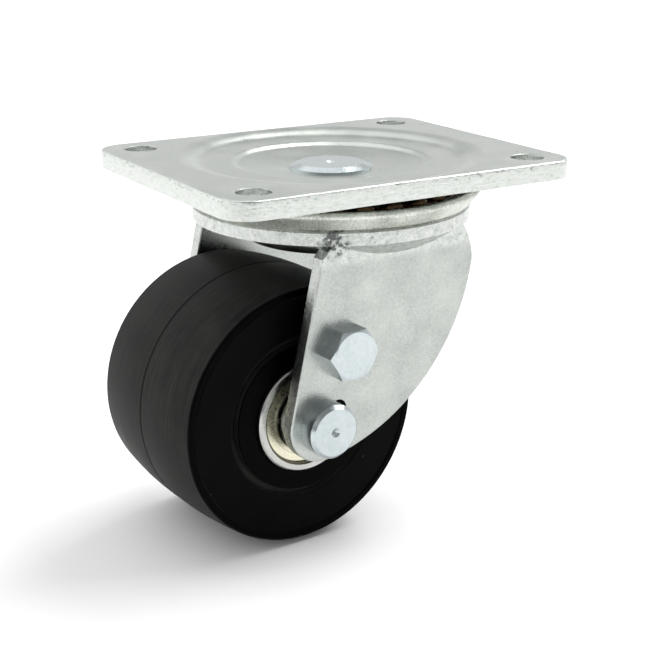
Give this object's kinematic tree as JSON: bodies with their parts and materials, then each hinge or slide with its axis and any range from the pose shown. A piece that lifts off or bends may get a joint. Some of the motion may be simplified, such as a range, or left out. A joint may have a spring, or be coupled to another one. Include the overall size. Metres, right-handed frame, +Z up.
{
  "type": "swivel plate caster",
  "caption": "Low-profile heavy-duty swivel caster with a dished steel top plate, a double ball race swivel, a pressed fork and a wide black nylon wheel on ball bearings.",
  "frame": {"origin": "centre of the top plate's mounting face, on the swivel axis", "axes": "+Z up out of the mounting face, X along the plate's long side; at rest the wheel trails towards -X"},
  "size_m": [0.114, 0.0856, 0.1013],
  "materials": {
    "zinc_plated_steel": "zinc plated, satin",
    "bright_pin_steel": "zinc plated, bright",
    "ring_steel": "rough galvanised",
    "bearing_steel": "ground steel",
    "shield_steel": "passivated, yellowish",
    "greased_balls": "polished, greased",
    "black_nylon": "satin black nylon"
  },
  "bodies": {
    "plate": {"top_plate": "zinc_plated_steel", "kingpin": "bright_pin_steel", "lower_ball_cup": "zinc_plated_steel"},
    "upper_ball_row": {"upper_swivel_balls": "greased_balls"},
    "lower_ball_row": {"lower_swivel_balls": "greased_balls"},
    "fork": {"fork_yoke": "zinc_plated_steel", "upper_race_ring": "ring_steel", "leg_bolt": "bright_pin_steel", "axle": "bright_pin_steel", "axle_washer": "zinc_plated_steel", "axle_nut": "zinc_plated_steel", "axle_spacer_near": "zinc_plated_steel", "axle_spacer_far": "zinc_plated_steel", "bearing_spacer_tube": "zinc_plated_steel", "bearing_inner_ring_near": "bearing_steel", "bearing_inner_ring_far": "bearing_steel"},
    "wheel": {"wheel": "black_nylon", "bearing_outer_ring_near": "bearing_steel", "bearing_outer_ring_far": "bearing_steel", "bearing_shields_near": "shield_steel", "bearing_shields_far": "shield_steel", "bearing_snap_rings_near": "shield_steel", "bearing_snap_rings_far": "shield_steel"},
    "near_bearing_balls": {"bearing_balls_near": "bearing_steel", "bearing_cage_near": "shield_steel"},
    "far_bearing_balls": {"bearing_balls_far": "bearing_steel", "bearing_cage_far": "shield_steel"}
  },
  "joints": [
    {"name": "swivel", "type": "hinge", "parent": "plate", "child": "fork", "pos_m": [0, 0, -0.0125], "axis": [0, 0, 1], "continuous": true},
    {"name": "wheel_spin", "type": "hinge", "parent": "fork", "child": "wheel", "pos_m": [-0.02437, -0.00128, -0.0645], "axis": [-0.0523, 0.9986, 0], "continuous": true},
    {"name": "upper_ball_row_turn", "type": "hinge", "parent": "plate", "child": "upper_ball_row", "pos_m": [0, 0, -0.0088], "axis": [0, 0, 1], "continuous": true},
    {"name": "lower_ball_row_turn", "type": "hinge", "parent": "plate", "child": "lower_ball_row", "pos_m": [0, 0, -0.0188], "axis": [0, 0, 1], "continuous": true},
    {"name": "near_bearing_turn", "type": "hinge", "parent": "fork", "child": "near_bearing_balls", "pos_m": [-0.02437, -0.00128, -0.0645], "axis": [-0.0523, 0.9986, 0], "continuous": true},
    {"name": "far_bearing_turn", "type": "hinge", "parent": "fork", "child": "far_bearing_balls", "pos_m": [-0.02437, -0.00128, -0.0645], "axis": [-0.0523, 0.9986, 0], "continuous": true}
  ],
  "couplings": [
    {"joint": "upper_ball_row_turn", "follows": "swivel", "ratio": 0.5},
    {"joint": "lower_ball_row_turn", "follows": "swivel", "ratio": 0.5},
    {"joint": "near_bearing_turn", "follows": "wheel_spin", "ratio": 0.62},
    {"joint": "far_bearing_turn", "follows": "wheel_spin", "ratio": 0.62}
  ]
}
